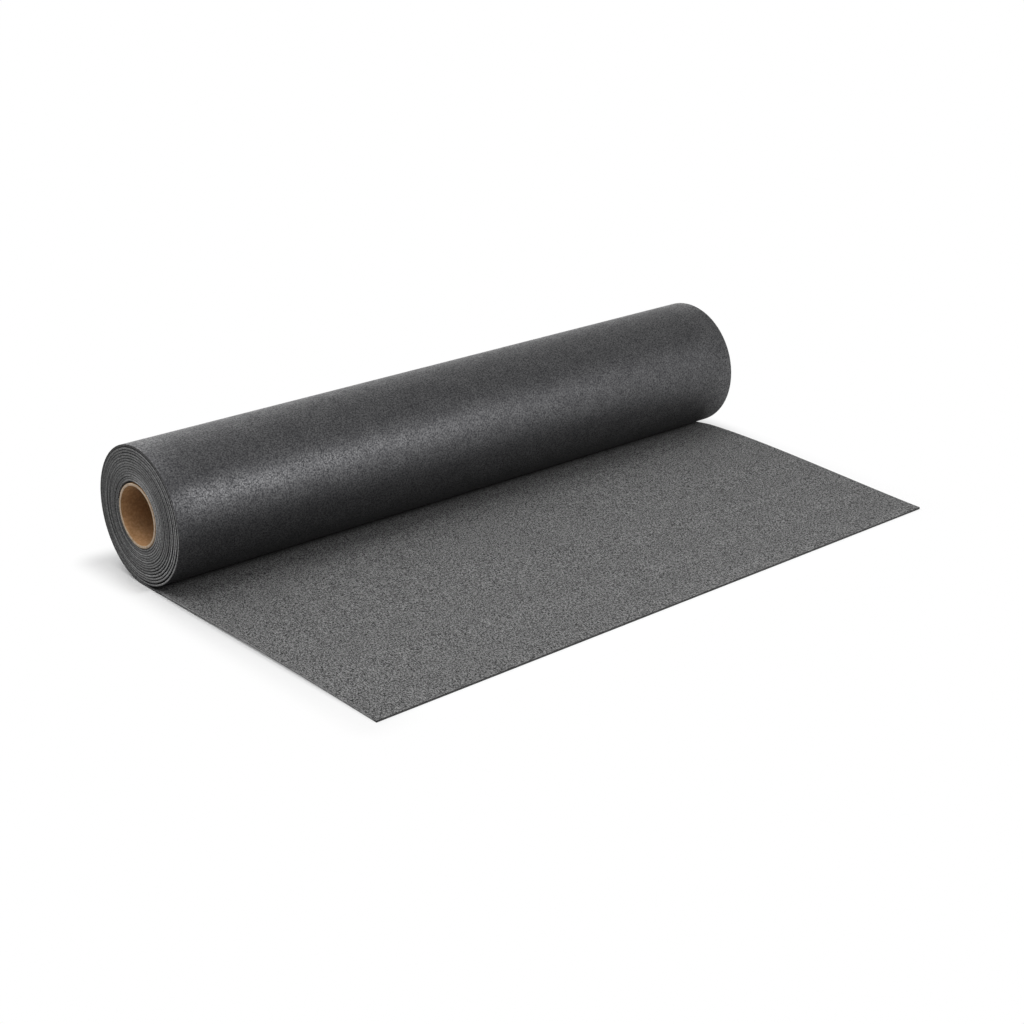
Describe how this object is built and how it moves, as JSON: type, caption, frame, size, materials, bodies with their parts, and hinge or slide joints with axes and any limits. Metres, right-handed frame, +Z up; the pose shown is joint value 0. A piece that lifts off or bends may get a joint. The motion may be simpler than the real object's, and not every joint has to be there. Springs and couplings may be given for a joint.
{
  "type": "roll of dry ridge strip",
  "caption": "Roll of charcoal felt-like roofing strip wound on a cardboard core tube, lying on its side with its free end unrolled flat on the floor.",
  "frame": {"origin": "on the floor, under the middle of the object's box", "axes": "+Z up, X along the roll's axis, the unrolled tail runs towards -Y and the roll stands at +Y"},
  "size_m": [1, 0.5774, 0.191],
  "materials": {
    "strip_felt": "matte felt with a fine speckled grain, satin on the outer face",
    "core_board": "plain brown spiral-wound board"
  },
  "bodies": {
    "root": {"ridge_strip": "strip_felt", "core_tube": "core_board"}
  },
  "joints": []
}
